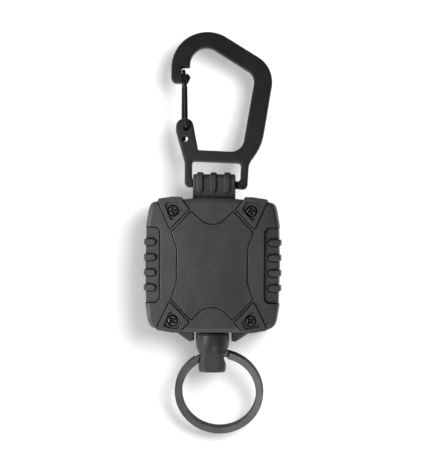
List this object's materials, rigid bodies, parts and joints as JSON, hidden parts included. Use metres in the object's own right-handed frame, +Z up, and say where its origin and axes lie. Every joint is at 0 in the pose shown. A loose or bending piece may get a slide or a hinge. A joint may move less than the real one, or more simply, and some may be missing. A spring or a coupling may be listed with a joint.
{
  "type": "retractable badge reel",
  "caption": "Rugged retractable key reel: square ribbed case with a spring spool, a cord to a split ring, and a hinged wire-gate carabiner on a strap loop.",
  "frame": {"origin": "on the spool axis, in the plane of the flat rear face of the case", "axes": "X to the right seen from the front, Y from the front cover to the rear cover, Z up towards the carabiner"},
  "size_m": [0.0428, 0.0168, 0.1271],
  "materials": {
    "shell_front": "fine moulded grain",
    "inlay": "fine moulded grain",
    "shell_rear": "fine moulded grain",
    "screws": "black oxide",
    "spool": "natural acetal",
    "spring_cover": "natural acetal",
    "power_spring": "blued strip",
    "axle": "ground",
    "washers": "nylon",
    "cord": "braided",
    "eyelet": "turned",
    "crimp": "turned",
    "collar": "matte",
    "cord_end": "satin",
    "ring": "dark satin plating",
    "strap": "matte",
    "carabiner": "matte black anodised",
    "gate_wire": "dark plated"
  },
  "bodies": {
    "hook": {"carabiner": "carabiner"},
    "gate": {"wire_gate": "gate_wire"},
    "case": {"front_cover": "shell_front", "front_panel": "inlay", "rear_cover": "shell_rear", "case_screws": "screws", "strap_loop": "strap", "axle_pin": "axle", "thrust_washers": "washers", "power_spring": "power_spring", "cord_run": "cord", "cord_eyelet": "eyelet"},
    "drum": {"spool": "spool", "spring_cover": "spring_cover", "wound_cord": "cord"},
    "cord_tip": {"cord_tail": "cord", "cord_crimp": "crimp"},
    "end_fitting": {"cord_end": "cord_end", "stop_collar": "collar"},
    "ring": {"split_ring": "ring"}
  },
  "joints": [
    {"name": "carabiner_swing", "type": "hinge", "parent": "hook", "child": "case", "pos_m": [0.00027, -0.007, 0.02545], "axis": [0.9994, 0, -0.034], "range_deg": [-90, 90]},
    {"name": "gate_swing", "type": "hinge", "parent": "hook", "child": "gate", "pos_m": [-0.0087, -0.00549, 0.04308], "axis": [-0.003, 0.9962, -0.0871], "range_deg": [0, 27], "stiffness_Nm_per_rad": 0.05},
    {"name": "cord_pull", "type": "slide", "parent": "case", "child": "cord_tip", "axis": [0, 0, -1], "range_m": [0, 0.5], "stiffness_N_per_m": 2, "springref_m": -0.6, "deforming": ["cord_tail"]},
    {"name": "spool_spin", "type": "hinge", "parent": "case", "child": "drum", "pos_m": [0, -0.007, 0], "axis": [0, 1, 0], "range_deg": [-10, 2215]},
    {"name": "end_swivel", "type": "hinge", "parent": "cord_tip", "child": "end_fitting", "pos_m": [0, -0.007, -0.0245], "axis": [0, 0, 1], "continuous": true},
    {"name": "ring_swing", "type": "hinge", "parent": "end_fitting", "child": "ring", "pos_m": [0, -0.007, -0.0285], "axis": [1, 0, 0], "range_deg": [-105, 68]}
  ],
  "couplings": [
    {"joint": "spool_spin", "follows": "cord_pull", "rad_per_m": 76.923}
  ]
}
